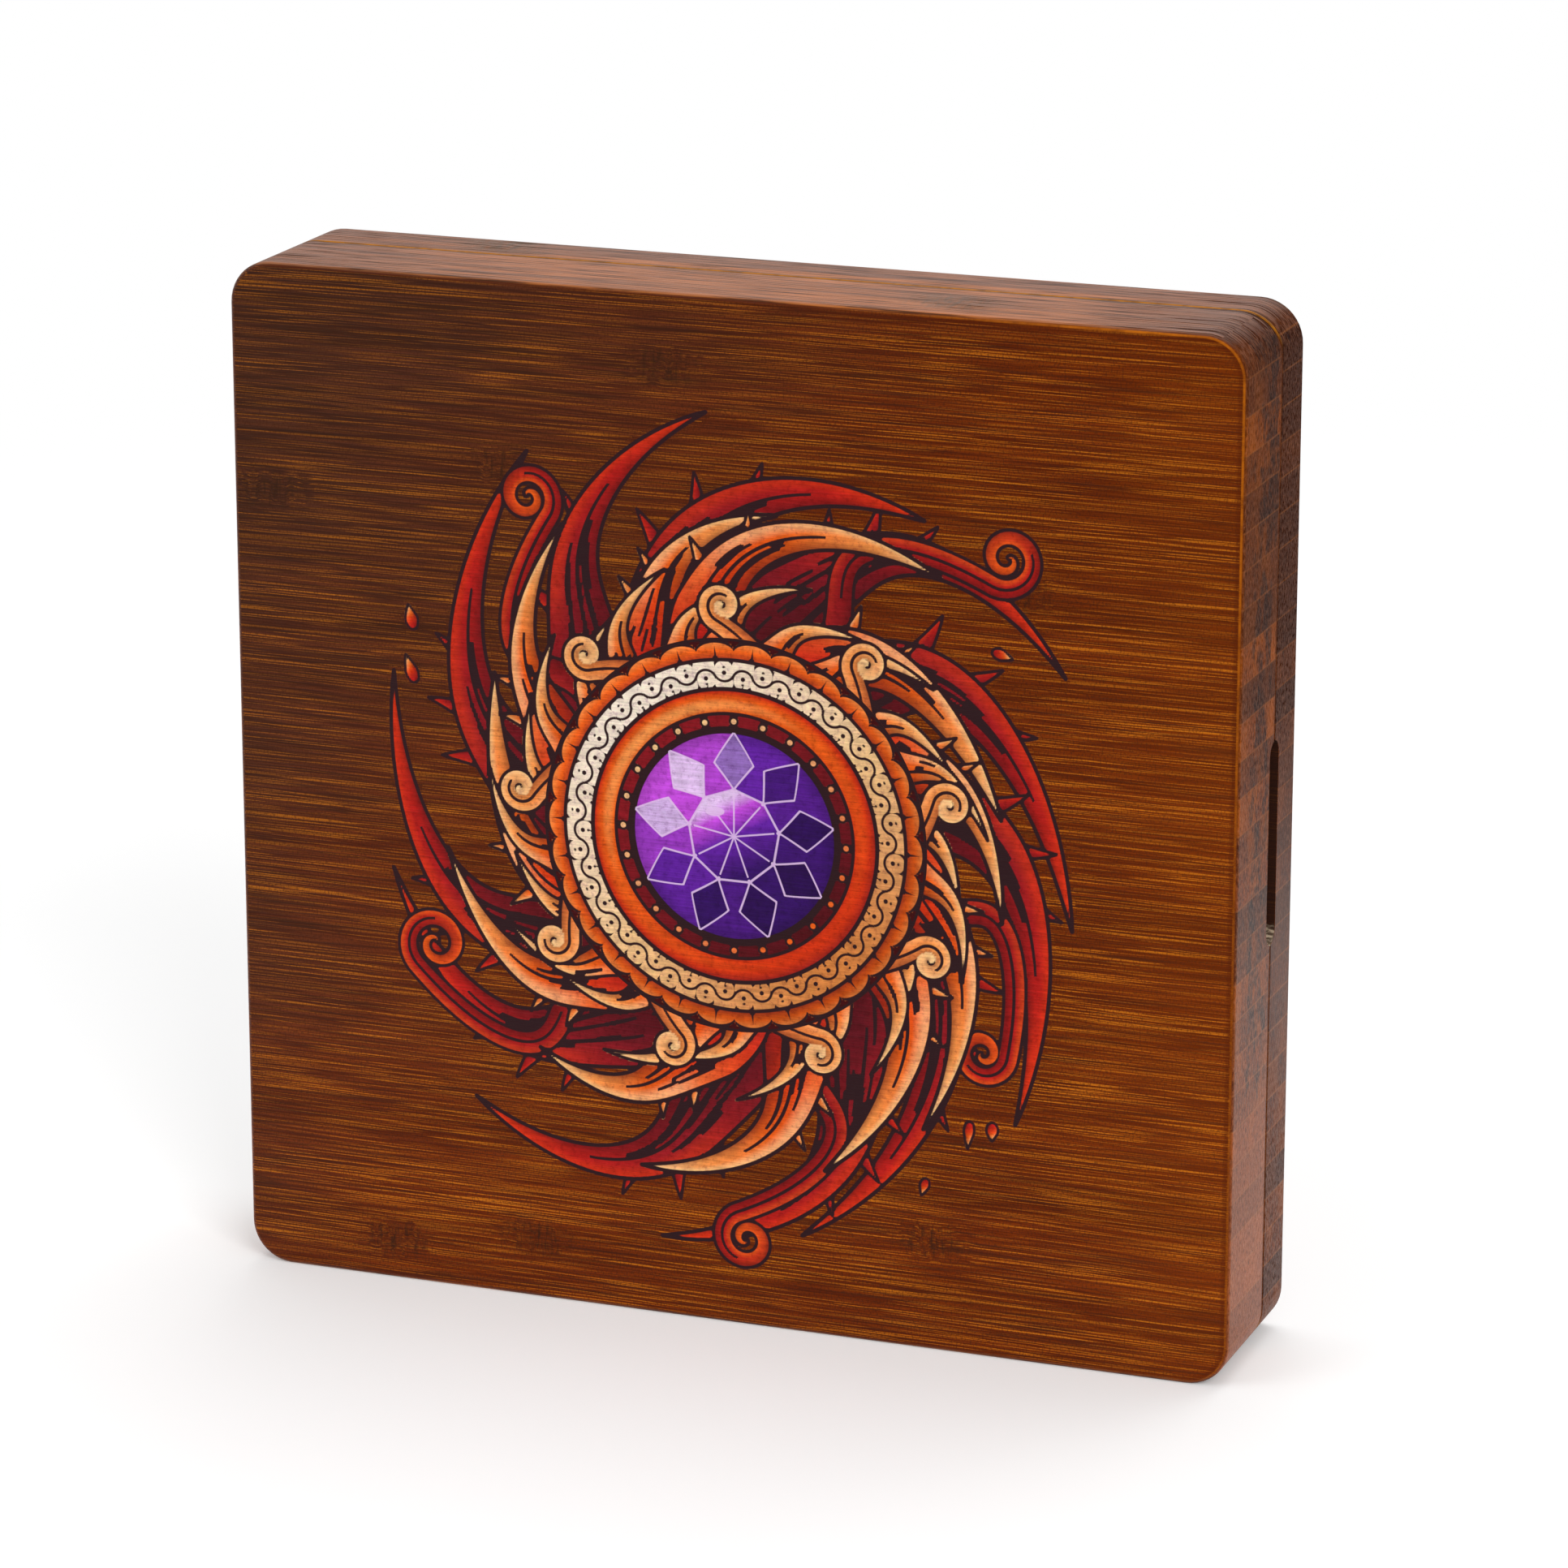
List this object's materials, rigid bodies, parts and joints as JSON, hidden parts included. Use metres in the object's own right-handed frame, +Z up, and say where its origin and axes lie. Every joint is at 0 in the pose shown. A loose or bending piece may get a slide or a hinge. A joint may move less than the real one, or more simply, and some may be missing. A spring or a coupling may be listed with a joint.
{
  "type": "hinged bamboo game box",
  "caption": "Square wooden game box that opens like a book: a storage half with dice rack and bays, a felt-lined rolling tray half, brass hinges, magnets and a finger slot.",
  "frame": {"origin": "middle of the closed box's lower edge: half way along its width and half way through its 40 mm thickness, on the surface it stands on", "axes": "+Z up; the printed face looks towards -Y; the finger slot is on the +X side and the hinges on the -X side"},
  "size_m": [0.2244, 0.04, 0.22],
  "materials": {
    "stained_bamboo": "dark amber stain under satin lacquer",
    "fitting_bamboo": "lighter stain, satin lacquer",
    "felt": "dense short-pile felt",
    "brass": "brushed and lacquered",
    "magnet_plating": "nickel plated, satin"
  },
  "bodies": {
    "back_half": {"tray_shell": "stained_bamboo", "tray_felt": "felt", "upper_hinge_back_leaf": "brass", "upper_hinge_pin": "brass", "lower_hinge_back_leaf": "brass", "lower_hinge_pin": "brass", "upper_back_screws": "brass", "lower_back_screws": "brass", "upper_back_magnet": "magnet_plating", "lower_back_magnet": "magnet_plating"},
    "front_half": {"storage_shell": "stained_bamboo", "dice_rack": "fitting_bamboo", "long_divider": "fitting_bamboo", "tall_divider": "fitting_bamboo", "short_divider": "fitting_bamboo", "dice_well_felts": "felt", "pencil_trough_felt": "felt", "card_bay_felt": "felt", "token_bay_felt": "felt", "large_bay_felt": "felt", "upper_hinge_front_leaf": "brass", "lower_hinge_front_leaf": "brass", "upper_front_screws": "brass", "lower_front_screws": "brass", "upper_front_magnet": "magnet_plating", "lower_front_magnet": "magnet_plating"}
  },
  "joints": [
    {"name": "cover_hinge", "type": "hinge", "parent": "back_half", "child": "front_half", "pos_m": [-0.1124, 0.00475, 0.11], "axis": [0, 0, -1], "range_deg": [0, 180]}
  ]
}
